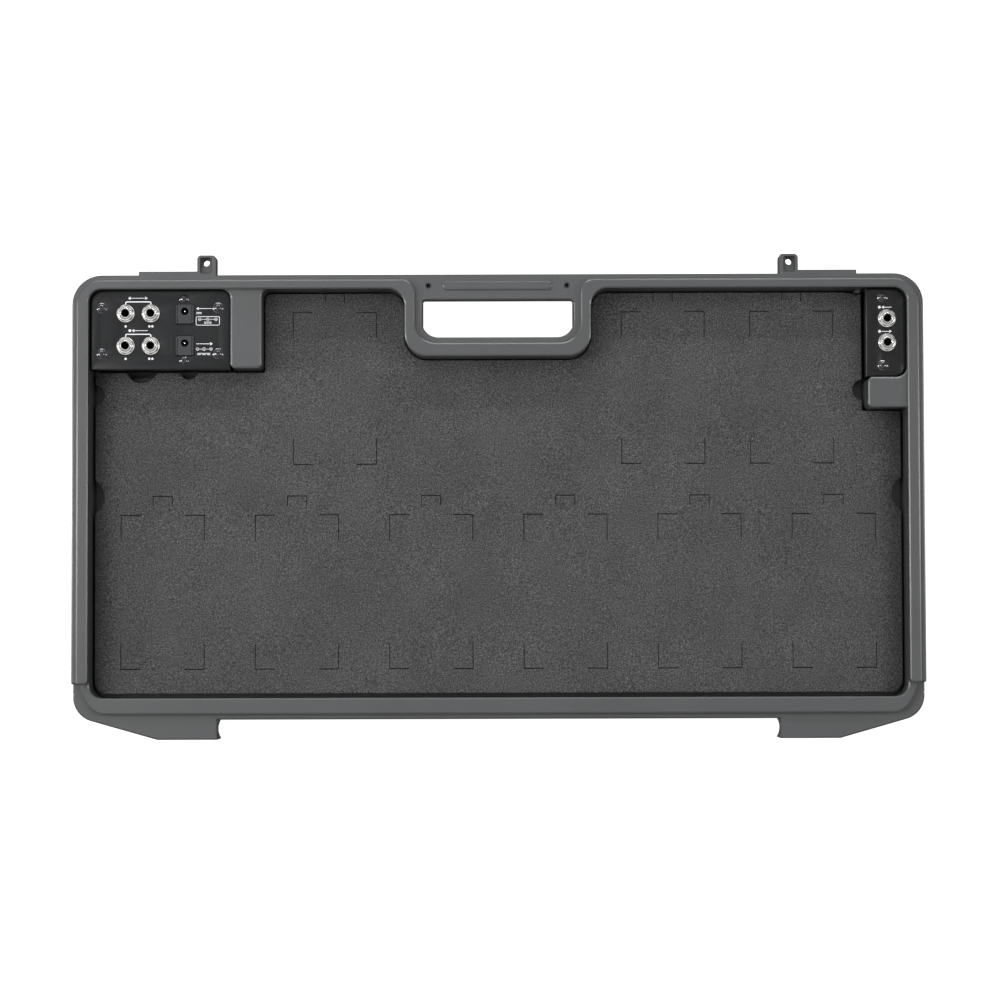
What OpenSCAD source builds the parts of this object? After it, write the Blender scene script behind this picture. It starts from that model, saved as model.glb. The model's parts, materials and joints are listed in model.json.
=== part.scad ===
// Pedalboard: the open base half of a moulded carrying case for effects pedals.
// A foam pad fills the tray, a steel jack panel sits in each back corner, and a
// hand grip bridges the middle of the back edge.
// +X is to the right, +Y to the back (the grip side), +Z up.
// The origin is on the ground, under the middle of the case.

/* [Case] */
// Width of the moulded case
case_w = 717; // [700:1:760]
// Depth of the case, without the lock tabs and the standing feet
case_d = 374.4; // [370:0.4:390]
// Height of the side and back ridge above the ground
ridge_z = 62; // [60:0.5:66]
// How far the outer band lies below the ridge
band_drop = 6; // [5:0.5:7]
// How far the front edge lies below the sides
front_drop = 12; // [8:1:13]
// Corner radius of the outer edge
corner_r = 25; // [20:1:30]
// Width of the outer band around the ridge
band_w = 4.6; // [3.6:0.1:5.6]
// Width of the ridge along the two sides
side_ridge_w = 9.7; // [9:0.1:11]
// Width of the ridge along the back
back_ridge_w = 7.7; // [7:0.1:9]
// Width of the ridge along the front
front_ridge_w = 13.6; // [11:0.1:16]
// Wall thickness of the moulding
wall = 3; // [2.4:0.1:3.2]
// Thickness of the tray floor
floor_t = 4; // [4:0.1:4.5]

/* [Handle] */
// Half the width of the hand opening
hand_half = 64; // [60:1:65]
// Front edge of the hand opening, from the back edge of the case
hand_front = 53.2; // [50:0.2:55]
// Depth of the grip, from the back edge of the case
grip_d = 21.6; // [20:0.2:24]
// Half the distance between the two grip screws
grip_screw_x = 58.4; // [56:0.2:59]

/* [Foam pad] */
// Thickness of the foam pad
foam_t = 25; // [20:1:28]
// Gap between the foam pad and the panels, the bracket and the grip's bay
foam_gap = 1; // [0.8:0.1:2]
// Gap between the foam pad and the side and back walls
foam_side_gap = 2.6; // [1.8:0.1:3]
// Gap between the foam pad and the front wall
foam_front_gap = 3.4; // [2.4:0.1:4]

/* [Jacks] */
// Bore of a jack bushing, for a 6.35 mm plug
jack_bore = 6.44; // [6.4:0.01:6.5]
// Distance between the two columns of the output panel's jacks
jack_col = 21.2; // [20:0.1:23]
// Distance between the two rows of the output panel's jacks
jack_row = 27.4; // [25:0.1:28]
// Distance between the two jacks of the input panel
input_row = 20.4; // [20:0.1:22]

/* [Hidden] */
$fn = 64;

CASE_GREY = [0.40, 0.41, 0.42];
GRIP_GREY = [0.36, 0.37, 0.38];
FOAM_GREY = [0.31, 0.31, 0.32];
PANEL_BLACK = [0.17, 0.18, 0.20];
BOX_BLACK = [0.10, 0.10, 0.11];
NICKEL = [0.82, 0.81, 0.78];
SCREW_BLACK = [0.12, 0.12, 0.13];
DC_GREY = [0.28, 0.30, 0.31];
BOARD_GREEN = [0.10, 0.28, 0.16];
RUBBER = [0.07, 0.07, 0.07];
BRASS = [0.75, 0.62, 0.32];

eps = 0.01;
cut = 5;                          // how far a cutter reaches past the faces it opens
side_x = case_w / 2;
back_y = case_d / 2;
pad_h = 3;                        // rubber feet
shell_z = pad_h;
floor_z = shell_z + floor_t;
foam_z = floor_z + foam_t;
band_z = ridge_z - band_drop;
front_ridge_z = ridge_z - front_drop;
front_band_z = band_z - front_drop;

// Tray pocket inside the ridge
tray_x = side_x - band_w - side_ridge_w;
tray_back = back_y - band_w - back_ridge_w;
tray_front = -back_y + band_w + front_ridge_w;
tray_r = 11;

// Where the high sides step down to the front edge, and the corners of their ends
step_y = -back_y + 30.2;
step_in_r = 3.2;
step_out_r = 1.6;

// Ends of the front ridge: inset from the outer edge, and the half axes of the curve
ridge_end_w = 6.8;
ridge_end_x = 20.2;
ridge_end_y = 28;

// The bay behind the grip, and the two outlines of the ridge that goes round it
hand_y = back_y - hand_front;
grip_y = back_y - grip_d;
hand_front_r = 14;
hand_back_r = 4;
bay_ridge_in = hand_half + 5.9;   // handle side of the ridge
bay_ridge_out = hand_half + 14.3; // tray side of the ridge
bay_ridge_in_y = hand_y - 5.2;
bay_ridge_out_y = hand_y - 16.3;
bay_in_r = 18;
bay_in_flare = 11;
bay_out_r = 19;
bay_out_flare = 14.5;

// Grip: the shell's bar on top, a screwed cover below
grip_split_z = band_z - 11;
grip_low_z = grip_split_z - 12;
grip_skin = 3;
grip_hollow_half = 52;
grip_gap = 0.5;                   // round the cover
grip_cover_r = 5;                 // lower edges of the cover
grip_screw_y = back_y - 9.6;
grip_hole_r = 1.65;
grip_ring_r = 2.75;               // countersink of the hole
grip_seat = 4.5;                  // depth of the screw heads in the cover
grip_rib_half = 46.4;
grip_rib_w = 7.8;
grip_rib_h = 1.2;

// Lock tabs at the back edge
tab_in = 237.2;
tab_out = 253.3;
tab_y = 204;
tab_h = 15;
tab_r = 3.4;
tab_eye_x = 246.1;
tab_eye_y = 198.2;
tab_eye_r = 2.85;
tab_pocket_d = 6;
tab_skin_in = 4.2;                // walls round the tab's pocket
tab_skin_out = 2.8;
tab_skin_end = 2.3;
tab_skin_case = 1.7;
tab_pocket_r = 1.5;
tab_root = 8;                     // how far the tab is joined into the case
keeper_out = 302.5;
keeper_d = 3.2;
keeper_lap = 4;

// Standing feet at the front edge
stand_in = 237;
stand_out = 287.5;
stand_corner_r = corner_r - 4;
stand_corner_y = 1.7;             // how far that corner reaches past the front edge
stand_y = 204;
stand_low_z = 9;
stand_skin = 6;                   // inner end wall of the hollow below
stand_dish_r = 15;                // dished inner end
stand_dish_d = 2.2;
stand_dish_top = 4;               // skin above the dish

// Moulded bracket beside the output panel, and block in front of the input panel
mould_top_z = ridge_z - 4;
bracket_x0 = -side_x + 133.6;
bracket_x1 = -side_x + 159.6;
bracket_y = back_y - 78.9;
block_x = side_x - 47.1;
block_y0 = back_y - 113.5;
block_y1 = back_y - 87.8;
mould_r = 4;
mould_inner_r = 1;
panel_flare = 8;

// Stiffening ribs in the channel inside the rim
rib_t = 2.5;
rib_low = shell_z + 4;
rib_xs = [-300 : 75 : 300];
rib_ys = [-120 : 60 : 120];

// Steel panels
plate_t = 1.5;
plate_z = ridge_z - 7;
plate_low = plate_z - plate_t;
lip_h = 12;
out_x0 = -side_x + 16;
out_x1 = bracket_x0 - 0.6;
out_y0 = back_y - 79.6;
out_y1 = tray_back - 0.5;
out_lip_y = out_y0 + plate_t;
in_x0 = block_x - 1.2;
in_x1 = tray_x - 0.6;
in_y0 = block_y1 + 0.6;
in_y1 = tray_back - 0.5;
in_lip_x = in_x0 + plate_t;
plate_r = 10;
box_wall = 2.2;
box_floor = 2;
box_gap = 0.3;
box_inset = plate_t + box_gap;
toe_d = 3.2;                      // toe that shows in the widest notch of the foam
toe_h = 4;

// Screws: shank radius, head radius and head height
screw_r = 1.45;
pilot_r = 1.5;
plate_hole_r = 1.8;
head_r = 3.3;
head_h = 2.2;
recess_w = 0.8;                   // slots of the cross in the head
recess_l = 3.4;
boss_r = 3.6;
panel_screw_low = plate_low - 14;
out_screws = [
    [-side_x + 24.6, back_y - 27.8], [-side_x + 24.6, back_y - 66.5],
    [-side_x + 122.7, back_y - 27.8], [-side_x + 122.7, back_y - 66.5]];
in_screws = [[side_x - 34.3, back_y - 20.5], [side_x - 34.3, back_y - 78]];

// Jacks
out_jack_x = -side_x + 45;
out_jack_y = back_y - 32.2;
in_jack_x = side_x - 30.6;
in_jack_y = back_y - 38.1;
JACKS = [
    ["output_jack_a", [out_jack_x, out_jack_y]],
    ["output_jack_b", [out_jack_x + jack_col, out_jack_y]],
    ["return_jack_a", [out_jack_x, out_jack_y - jack_row]],
    ["return_jack_b", [out_jack_x + jack_col, out_jack_y - jack_row]],
    ["input_jack", [in_jack_x, in_jack_y]],
    ["send_jack", [in_jack_x, in_jack_y - input_row]]];
bushing_r = 4.75;
bushing_top = plate_z + 4.8;
bushing_low = plate_low - 7.5;
bushing_flange_r = 6.4;
bushing_flange_t = 1.5;
jack_top = plate_low - bushing_flange_t;
jack_low = jack_top - 25;
jack_floor = 2;
jack_room_r = 3.6;                // inside the housing, below the bushing
jack_x = 15.6;
jack_y = 18;
washer_r = 7.6;
washer_t = 0.9;
nut_flat = 13;
nut_t = 2.7;
thread_gap = 0.1;
tip_z = bushing_top - 26;
tip_w = 3;
tip_foot_x = 5.6;
tip_nose_x = 2.9;
tip_end_x = 4.6;
tip_end_h = 4.4;
leaf_t = 0.4;
board_t = 1.6;
board_side = 9.5;                 // from the outer jack's middle to the board's edge
board_end = 11;
pin_r = 0.5;
pin_tail = 1.4;
PIN_SPOTS = [[-5, -6], [5, -6], [0, 7]];

// DC sockets
dc_x = -side_x + 94.8;
dc_in_y = back_y - 32.9;
dc_out_y = back_y - 59.7;
dc_w = 15.2;
dc_d = 16.3;
dc_top = plate_z + 1.4;
dc_low = plate_z - 19;
dc_hole_r = 3.1;
dc_hole_y = 2.3;
dc_hole_low = dc_top - 12;
dc_pin_r = 1;
dc_pin_drop = 1.6;                // of the pin's end below the face
dc_gap = 0.15;                    // round the socket in the panel and the carrier
dc_groove_w = 0.5;
dc_groove_d = 0.6;
dc_groove_in = 1.5;
dc_leaf_w = 2.4;
dc_leaf_foot = [4.2, dc_low + 3];
dc_leaf_nose = [2.8, dc_low + 12.5];
dc_leaf_end = [3.6, dc_low + 15.5];
dc_screw_x = -side_x + 94.2;
dc_screw_ys = [back_y - 20.1, back_y - 72.2];
carrier_t = 4;
carrier_half = 10;
carrier_end = 3;                  // past the middle of each screw
power_board_end = 12;             // past the middle of each socket
power_board_x0 = dc_x - 11;
power_board_x1 = dc_x + 21;

// Rubber feet under the tray
foot_x = 290;
foot_y = 135;
foot_r = 10;
foot_screw_z = 2;                 // underside of the screw head's seat
foot_screw_top = floor_z - 0.8;

// Screws that hold the jack boxes to the tray floor
BOX_SCREWS = [[-side_x + 60, back_y - 45.9], [-side_x + 110, back_y - 45.9],
    [side_x - 30.6, back_y - 26], [side_x - 30.6, back_y - 72]];
floor_recess = 2.2;
floor_boss_h = 10;

// Foam cut-outs: centre and radius of each round notch
NOTCHES = [
    [[-tray_x + 1.3, back_y - 99.4], 8.9], [[-tray_x - 6.2, 0.8], 16.5],
    [[-side_x + 55.8, out_y0 + 4.9], 14.4], [[-side_x + 95.8, out_y0 + 1.2], 7.8],
    [[block_x - 1.4, back_y - 96.8], 8.7], [[tray_x + 6.4, 2], 16.5]];
foam_corner_r = 5;                // beside the bracket
nub_x = side_x - 52.7;
nub_r = 2.4;
nub_z = foam_z + 4;

// Rectangle from (x0, y0) to (x1, y1) with one radius for all corners
module rounded(x0, y0, x1, y1, r) {
    translate([x0 + r, y0]) square([x1 - x0 - 2 * r, y1 - y0]);
    translate([x0, y0 + r]) square([x1 - x0, y1 - y0 - 2 * r]);
    for (x = [x0 + r, x1 - r], y = [y0 + r, y1 - r]) translate([x, y]) circle(r);
}

// Concave corner filling at (x, y), reaching r along sx and sy
module corner_fill(x, y, sx, sy, r) {
    translate([x, y]) scale([sx, sy]) difference() {
        translate([-eps, -eps]) square(r + eps);
        translate([r, r]) circle(r);
    }
}

module case_outline(inset = 0) {
    rounded(-side_x + inset, -back_y + inset, side_x - inset, back_y - inset,
        corner_r - inset);
}

// Block that reaches forward from the back edge, with rounded front corners and
// a flare of flare_r where it meets the line y = flare_y
module back_block(half, front_y, front_r, flare_y, flare_r) {
    translate([-half, front_y + front_r]) square([2 * half, back_y + cut - front_y - front_r]);
    translate([-half + front_r, front_y]) square([2 * (half - front_r), front_r + eps]);
    for (s = [-1, 1]) {
        translate([s * (half - front_r), front_y + front_r]) circle(front_r);
        translate([s * half, flare_y]) scale([s, -1]) difference() {
            translate([-eps, -eps]) square(flare_r + eps);
            translate([flare_r, flare_r]) circle(flare_r);
        }
    }
}

// The tray pocket; grow widens it all round
module tray_outline(grow = 0) {
    difference() {
        rounded(-tray_x - grow, tray_front - grow, tray_x + grow, tray_back + grow,
            tray_r + grow);
        back_block(bay_ridge_out - grow, bay_ridge_out_y + grow, bay_out_r - grow,
            tray_back + grow, bay_out_flare + grow);
    }
}

// The part of the back edge that stays at band height round the grip
module handle_zone() {
    back_block(bay_ridge_in, bay_ridge_in_y, bay_in_r, back_y - band_w, bay_in_flare);
}

module hand_opening() {
    difference() {
        rounded(-hand_half, hand_y, hand_half, grip_y + hand_front_r, hand_front_r);
        translate([-hand_half - 1, grip_y]) square([2 * hand_half + 2, 2 * hand_front_r]);
        for (s = [-1, 1]) corner_fill(s * hand_half, grip_y, -s, -1, hand_back_r);
    }
}

// Moulded columns that stand in the tray
module bracket_outline() {
    rounded(bracket_x0, bracket_y, bracket_x1, tray_back - mould_r, mould_r);
    translate([bracket_x0, tray_back - 3 * mould_r]) square([bracket_x1 - bracket_x0, 3 * mould_r + 1]);
    corner_fill(bracket_x0, tray_back, -1, -1, panel_flare);
    corner_fill(bracket_x1, tray_back, 1, -1, panel_flare - 2);
}

module block_outline() {
    rounded(block_x, block_y0, tray_x - mould_r, block_y1, mould_r);
    translate([tray_x - 3 * mould_r, block_y0]) square([3 * mould_r + 1, block_y1 - block_y0]);
    corner_fill(tray_x, block_y1, -1, 1, panel_flare + 1);
}

// Everything behind the step, with the rounded ends of the two high sides
module high_outline(inset) {
    intersection() {
        case_outline(inset);
        difference() {
            translate([-side_x, step_y]) square([case_w, case_d]);
            for (s = [-1, 1]) {
                corner_fill(s * tray_x, step_y, s, 1, step_in_r);
                corner_fill(s * (side_x - inset), step_y, -s, 1, step_out_r);
            }
        }
    }
}

module front_ridge_outline() {
    hull() for (s = [-1, 1])
        translate([s * (side_x - ridge_end_w - ridge_end_x), -back_y + band_w + ridge_end_y])
            scale([ridge_end_x / ridge_end_y, 1]) circle(ridge_end_y);
}

// One side's lock tab and the keeper strip beside it
module lock_tab() {
    translate([0, 0, band_z - tab_h]) linear_extrude(tab_h) {
        rounded(tab_in, back_y - tab_root, tab_out, tab_y, tab_r);
        translate([tab_out - keeper_lap, back_y - 1])
            square([keeper_out - tab_out + keeper_lap, keeper_d + 1]);
    }
}

module lock_tab_cuts() {
    translate([0, 0, band_z - tab_pocket_d]) linear_extrude(tab_pocket_d + cut)
        rounded(tab_in + tab_skin_in, back_y + tab_skin_case, tab_out - tab_skin_out,
            tab_y - tab_skin_end, tab_pocket_r);
    translate([tab_eye_x, tab_eye_y, 0]) cylinder(r = tab_eye_r, h = ridge_z);
}

// Its slanted side runs on into the case's corner
module stand_foot() {
    translate([0, 0, stand_low_z]) linear_extrude(front_band_z - stand_low_z) hull() {
        translate([stand_in, -stand_y]) square([stand_out - stand_in, stand_y - back_y + 1]);
        translate([side_x - stand_corner_r, -back_y + stand_corner_r - stand_corner_y])
            circle(stand_corner_r);
    }
}

// Hollow of a standing foot, open below, and the dish in its inner end
module stand_foot_cuts() {
    translate([stand_in + stand_skin, -stand_y + wall, stand_low_z - cut])
        cube([stand_out - stand_in - stand_skin - wall, stand_y - back_y - 2 * wall,
            front_band_z - wall - stand_low_z + cut]);
    intersection() {
        translate([stand_in + stand_dish_d - stand_dish_r, -(stand_y + back_y) / 2, 0])
            cylinder(r = stand_dish_r, h = front_band_z - stand_dish_top);
        translate([stand_in - cut, -stand_y - cut, 0])
            cube([2 * cut, stand_y - back_y + cut, ridge_z]);
    }
}

// Channel inside the rim, open below
module channel_outline() {
    difference() {
        case_outline(wall);
        tray_outline(wall);
        translate([-hand_half - wall, hand_y - wall]) square([2 * (hand_half + wall), case_d]);
    }
}

module channel() {
    difference() {
        union() {
            translate([0, 0, shell_z - cut])
                linear_extrude(front_band_z - wall - shell_z + cut) channel_outline();
            intersection() {
                translate([0, 0, shell_z]) linear_extrude(band_z - wall - shell_z) channel_outline();
                translate([-side_x, step_y + wall, shell_z]) cube([case_w, case_d, ridge_z]);
            }
        }
        for (x = rib_xs)
            translate([x - rib_t / 2, -back_y, rib_low]) cube([rib_t, case_d, ridge_z]);
        for (y = rib_ys)
            translate([-side_x, y - rib_t / 2, rib_low]) cube([case_w, rib_t, ridge_z]);
    }
}

module base_shell() {
    color(CASE_GREY) difference() {
        union() {
            difference() {
                union() {
                    translate([0, 0, shell_z]) linear_extrude(front_band_z - shell_z) case_outline();
                    translate([0, 0, shell_z]) linear_extrude(front_ridge_z - shell_z)
                        front_ridge_outline();
                    translate([0, 0, shell_z]) linear_extrude(band_z - shell_z) high_outline(0);
                    translate([0, 0, shell_z]) linear_extrude(ridge_z - shell_z) difference() {
                        high_outline(band_w);
                        handle_zone();
                    }
                    for (s = [0, 1]) mirror([s, 0, 0]) stand_foot();
                }
                translate([0, 0, floor_z]) linear_extrude(ridge_z) tray_outline();
            }
            translate([0, 0, floor_z - 1]) linear_extrude(mould_top_z - floor_z + 1) {
                bracket_outline();
                block_outline();
            }
            translate([nub_x, tray_back, floor_z - 1]) cylinder(r = nub_r, h = nub_z - floor_z + 1);
            translate([0, 0, band_z - 1]) linear_extrude(grip_rib_h + 1)
                rounded(-grip_rib_half, grip_screw_y - grip_rib_w / 2, grip_rib_half,
                    grip_screw_y + grip_rib_w / 2, grip_rib_w / 2 - 0.1);
            for (s = [0, 1]) mirror([s, 0, 0]) lock_tab();
        }
        for (s = [0, 1]) mirror([s, 0, 0]) {
            lock_tab_cuts();
            stand_foot_cuts();
        }
        channel();
        translate([0, 0, shell_z - cut]) linear_extrude(mould_top_z - wall - shell_z + cut) {
            rounded(bracket_x0 + wall, bracket_y + wall, bracket_x1 - wall, tray_back, mould_inner_r);
            rounded(block_x + wall, block_y0 + wall, tray_x, block_y1 - wall, mould_inner_r);
        }
        translate([0, 0, shell_z - cut]) linear_extrude(ridge_z + cut) hand_opening();
        translate([-hand_half, hand_y + hand_front_r, shell_z - cut])
            cube([2 * hand_half, case_d, grip_split_z - shell_z + cut]);
        translate([0, 0, grip_split_z - 1]) linear_extrude(band_z - grip_skin - grip_split_z + 1)
            rounded(-grip_hollow_half, grip_y + grip_skin, grip_hollow_half,
                back_y - grip_skin, 2);
        for (s = [-1, 1]) translate([s * grip_screw_x, grip_screw_y, 0]) {
            cylinder(r = grip_hole_r, h = ridge_z);
            translate([0, 0, band_z + eps - grip_ring_r + grip_hole_r])
                cylinder(r1 = grip_hole_r, r2 = grip_ring_r, h = grip_ring_r - grip_hole_r);
        }
        for (x = [-foot_x, foot_x], y = [-foot_y, foot_y])
            translate([x, y, shell_z - 1])
                cylinder(r = pilot_r, h = foot_screw_top + 0.2 - shell_z + 1);
        for (p = BOX_SCREWS) translate([p[0], p[1], 0]) {
            cylinder(r = plate_hole_r, h = floor_z + 1);
            cylinder(r = head_r, h = shell_z + floor_recess);
        }
    }
}

// Lower half of the grip: a trough with rounded lower edges
module handle_cover() {
    r = grip_cover_r;
    y0 = grip_y + grip_gap;
    y1 = back_y - grip_gap;
    color(GRIP_GREY) difference() {
        rotate([90, 0, 90]) translate([0, 0, -hand_half + grip_gap])
            linear_extrude(2 * (hand_half - grip_gap)) {
                translate([y0, grip_low_z + r]) square([y1 - y0, grip_split_z - grip_low_z - r]);
                translate([y0 + r, grip_low_z]) square([y1 - y0 - 2 * r, r + 1]);
                for (y = [y0 + r, y1 - r]) translate([y, grip_low_z + r]) circle(r);
            }
        translate([0, 0, grip_low_z + grip_skin]) linear_extrude(grip_split_z)
            rounded(-grip_hollow_half, y0 + grip_skin, grip_hollow_half, y1 - grip_skin, 2);
        for (s = [-1, 1]) translate([s * grip_screw_x, grip_screw_y, grip_low_z - 1]) {
            cylinder(r = plate_hole_r, h = ridge_z);
            cylinder(r = head_r + 0.1, h = grip_seat + 1);
        }
    }
}

// Pan-head screw that points down: z is the underside of its head
module screw_down(x, y, z, low) {
    rim = head_h * 0.45;
    translate([x, y, 0]) difference() {
        union() {
            translate([0, 0, low]) cylinder(r = screw_r, h = z - low);
            translate([0, 0, z]) cylinder(r = head_r - 0.1, h = rim);
            translate([0, 0, z + rim])
                cylinder(r1 = head_r - 0.1, r2 = head_r * 0.6, h = head_h - rim);
        }
        for (a = [0, 90]) translate([0, 0, z + head_h / 2]) rotate(a + 20)
            translate([-recess_l / 2, -recess_w / 2, 0]) cube([recess_l, recess_w, head_h]);
    }
}

// Pan-head screw that points up: z is the upper side of its head
module screw_up(x, y, z, top, head = 1.8) {
    translate([x, y, 0]) difference() {
        union() {
            translate([0, 0, z]) cylinder(r = screw_r, h = top - z);
            translate([0, 0, z - head]) cylinder(r = head_r - 0.2, h = head);
        }
        for (a = [0, 90]) translate([0, 0, z - head - 1]) rotate(a)
            translate([-recess_l / 2, -recess_w / 2, 0]) cube([recess_l, recess_w, head / 2 + 1]);
    }
}

module handle_screws() {
    color(SCREW_BLACK) for (s = [-1, 1])
        screw_up(s * grip_screw_x, grip_screw_y, grip_low_z + grip_seat, band_z - 4, 2);
}

module rubber_feet() {
    color(RUBBER) for (x = [-foot_x, foot_x], y = [-foot_y, foot_y]) translate([x, y, 0])
        difference() {
            cylinder(r = foot_r, h = pad_h);
            translate([0, 0, -1]) cylinder(r = plate_hole_r, h = pad_h + 2);
            translate([0, 0, -1]) cylinder(r = head_r + 0.4, h = foot_screw_z + 1);
        }
}

module foot_screws() {
    color(SCREW_BLACK) for (x = [-foot_x, foot_x], y = [-foot_y, foot_y])
        screw_up(x, y, foot_screw_z, foot_screw_top, 1.4);
}

module box_screws() {
    color(SCREW_BLACK) for (p = BOX_SCREWS)
        screw_up(p[0], p[1], shell_z + floor_recess, floor_z + 7.5);
}

// Foam pad: fills the tray around the jack boxes and the bay behind the grip
module foam_outline() {
    g = foam_gap;
    w = foam_side_gap;
    difference() {
        rounded(-tray_x + w, tray_front + foam_front_gap, tray_x - w, tray_back - w, tray_r - g);
        back_block(bay_ridge_out + g, bay_ridge_out_y - g, bay_out_r + g, tray_back - w,
            bay_out_flare - w);
        translate([-side_x, out_y0 - g]) square([bracket_x1 + g + side_x, case_d]);
        corner_fill(bracket_x1 + g, tray_back - w, 1, -1, foam_corner_r);
        translate([in_x0 - g, block_y0 - g]) square([case_w, case_d]);
        for (n = NOTCHES) translate(n[0]) circle(n[1]);
        translate([nub_x, tray_back]) circle(nub_r + g);
    }
}

module foam_pad() {
    color(FOAM_GREY) translate([0, 0, floor_z]) linear_extrude(foam_t) foam_outline();
}

// Outline of a jack panel; the box below it uses the same outline, inset
module out_plate(inset = 0) {
    difference() {
        translate([out_x0 + inset, out_y0 + inset])
            square([out_x1 - out_x0 - 2 * inset, out_y1 - out_y0 - 2 * inset]);
        corner_fill(out_x0 + inset, out_y1 - inset, 1, -1, plate_r);
        corner_fill(out_x1 - inset, out_y1 - inset, -1, -1, panel_flare);
    }
}

module in_plate(inset = 0) {
    difference() {
        translate([in_x0 + inset, in_y0 + inset])
            square([in_x1 - in_x0 - 2 * inset, in_y1 - in_y0 - 2 * inset]);
        corner_fill(in_x1 - inset, in_y1 - inset, -1, -1, plate_r);
        corner_fill(in_x1 - inset, in_y0 + inset, -1, 1, plate_r);
    }
}

module box_boss(x, y) {
    translate([x, y, floor_z + 1]) cylinder(r = boss_r, h = plate_low - floor_z - 1);
}

module floor_boss(p) {
    translate([p[0], p[1], floor_z + 1]) cylinder(r = boss_r, h = floor_boss_h - 1);
}

module floor_boss_hole(p) {
    translate([p[0], p[1], floor_z - 1]) cylinder(r = pilot_r, h = floor_boss_h - 1);
}

module screw_holes(points, low) {
    for (p = points) translate([p[0], p[1], low]) cylinder(r = pilot_r, h = ridge_z);
}

module output_box() {
    inset = box_inset;
    toe = NOTCHES[2];
    color(BOX_BLACK) difference() {
        union() {
            difference() {
                translate([0, 0, floor_z]) linear_extrude(plate_low - floor_z) out_plate(inset);
                translate([0, 0, floor_z + box_floor]) linear_extrude(ridge_z) out_plate(inset + box_wall);
            }
            intersection() {
                union() {
                    for (p = out_screws) box_boss(p[0], p[1]);
                    for (i = [0, 1]) floor_boss(BOX_SCREWS[i]);
                }
                linear_extrude(ridge_z) out_plate(inset);
            }
            intersection() {
                translate([-side_x, out_y0 - toe_d, floor_z])
                    cube([out_x1 + side_x, toe_d + inset + 1, toe_h]);
                translate([toe[0][0], toe[0][1], 0]) cylinder(r = toe[1] - 0.8, h = ridge_z);
            }
        }
        screw_holes(out_screws, panel_screw_low - 1);
        for (i = [0, 1]) floor_boss_hole(BOX_SCREWS[i]);
    }
}

module input_box() {
    inset = box_inset;
    color(BOX_BLACK) difference() {
        union() {
            difference() {
                translate([0, 0, floor_z]) linear_extrude(plate_low - floor_z) in_plate(inset);
                translate([0, 0, floor_z + box_floor]) linear_extrude(ridge_z) in_plate(inset + box_wall);
            }
            intersection() {
                union() {
                    for (p = in_screws) box_boss(p[0], p[1]);
                    for (i = [2, 3]) floor_boss(BOX_SCREWS[i]);
                }
                linear_extrude(ridge_z) in_plate(inset);
            }
        }
        screw_holes(in_screws, panel_screw_low - 1);
        for (i = [2, 3]) floor_boss_hole(BOX_SCREWS[i]);
    }
}

module plate_hole(x, y) {
    translate([x, y, plate_low - 1]) cylinder(r = plate_hole_r, h = plate_t + 2);
}

module jack_holes(from, to) {
    for (i = [from : to]) translate([JACKS[i][1][0], JACKS[i][1][1], plate_low - 1])
        cylinder(r = bushing_r + 0.2, h = plate_t + 2);
}

// Opening for a power socket through a plate of thickness t
module dc_window(y, low, t) {
    translate([dc_x - dc_w / 2 - dc_gap, y - dc_d / 2 - dc_gap, low - 1])
        cube([dc_w + 2 * dc_gap, dc_d + 2 * dc_gap, t + 2]);
}

// Folded steel sheet with a lip along its front edge
module output_panel() {
    color(PANEL_BLACK) difference() {
        union() {
            translate([0, 0, plate_low]) linear_extrude(plate_t) out_plate();
            translate([out_x0, out_y0, plate_z - lip_h])
                cube([out_x1 - out_x0, plate_t, lip_h - plate_t / 2]);
        }
        jack_holes(0, 3);
        for (y = [dc_in_y, dc_out_y])
            dc_window(y, plate_low, plate_t);
        for (p = out_screws) plate_hole(p[0], p[1]);
        for (y = dc_screw_ys) plate_hole(dc_screw_x, y);
    }
}

// Folded steel sheet with a lip along its left edge
module input_panel() {
    color(PANEL_BLACK) difference() {
        union() {
            translate([0, 0, plate_low]) linear_extrude(plate_t) in_plate();
            translate([in_x0, in_y0, plate_z - lip_h])
                cube([plate_t, in_y1 - in_y0, lip_h - plate_t / 2]);
        }
        jack_holes(4, 5);
        for (p = in_screws) plate_hole(p[0], p[1]);
    }
}

module output_panel_screws() {
    color(SCREW_BLACK) for (p = out_screws) screw_down(p[0], p[1], plate_z, panel_screw_low);
}

module input_panel_screws() {
    color(SCREW_BLACK) for (p = in_screws) screw_down(p[0], p[1], plate_z, panel_screw_low);
}

// Plastic housing of a jack, with a bore for the plug and a pocket for the tip spring
module jack_body(p) {
    tip_room = tip_w + 1.4;
    color(BOX_BLACK) translate([p[0], p[1], 0]) difference() {
        translate([-jack_x / 2, -jack_y / 2, jack_low]) cube([jack_x, jack_y, jack_top - jack_low]);
        translate([0, 0, bushing_low - 0.2]) cylinder(r = bushing_r + 0.1, h = ridge_z);
        translate([0, 0, jack_low + jack_floor]) cylinder(r = jack_room_r, h = ridge_z);
        translate([1, -tip_room / 2, jack_low + jack_floor])
            cube([tip_foot_x - 0.2, tip_room, tip_z - jack_low + 5]);
    }
}

module jack_bushing(p) {
    color(NICKEL) translate([p[0], p[1], 0]) difference() {
        union() {
            translate([0, 0, bushing_low]) cylinder(r = bushing_r, h = bushing_top - bushing_low);
            translate([0, 0, jack_top]) cylinder(r = bushing_flange_r, h = bushing_flange_t);
        }
        translate([0, 0, bushing_low - 1]) cylinder(r = jack_bore / 2, h = ridge_z);
    }
}

module jack_washers() {
    color(NICKEL) for (j = JACKS) translate([j[1][0], j[1][1], plate_z]) difference() {
        cylinder(r = washer_r, h = washer_t);
        translate([0, 0, -1]) cylinder(r = bushing_r + thread_gap, h = washer_t + 2);
    }
}

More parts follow.
